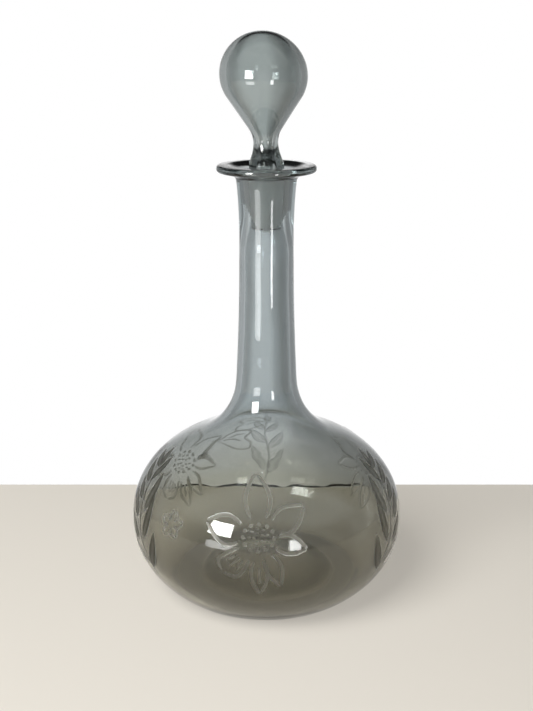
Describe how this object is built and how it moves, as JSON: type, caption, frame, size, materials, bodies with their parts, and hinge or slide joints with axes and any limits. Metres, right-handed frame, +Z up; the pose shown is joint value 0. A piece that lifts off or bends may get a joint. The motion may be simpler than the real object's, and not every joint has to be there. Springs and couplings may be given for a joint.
{
  "type": "glass decanter",
  "caption": "Shaft-and-globe glass decanter: flattened globe etched with flowers and leaf sprays, long neck, flat flared lip and a hollow ball stopper with a ground peg.",
  "frame": {"origin": "centre of the foot, on the surface that the decanter stands on", "axes": "+Z up along the axis of the neck and globe; +X and +Y are level, and -Y is the side that the picture shows"},
  "size_m": [0.15, 0.15, 0.3],
  "materials": {
    "smoky_glass": "blown and fire polished, faint grey olive tint",
    "stopper_glass": "blown and fire polished, faint grey tint",
    "etched_glass": "acid etched and ground, matt and translucent"
  },
  "bodies": {
    "vessel": {"decanter_body": "smoky_glass"},
    "loose_stopper": {"stopper": "stopper_glass"}
  },
  "joints": [
    {"name": "stopper_lift", "type": "slide", "parent": "vessel", "child": "loose_stopper", "axis": [0, 0, 1], "range_m": [0, 0.06]}
  ]
}
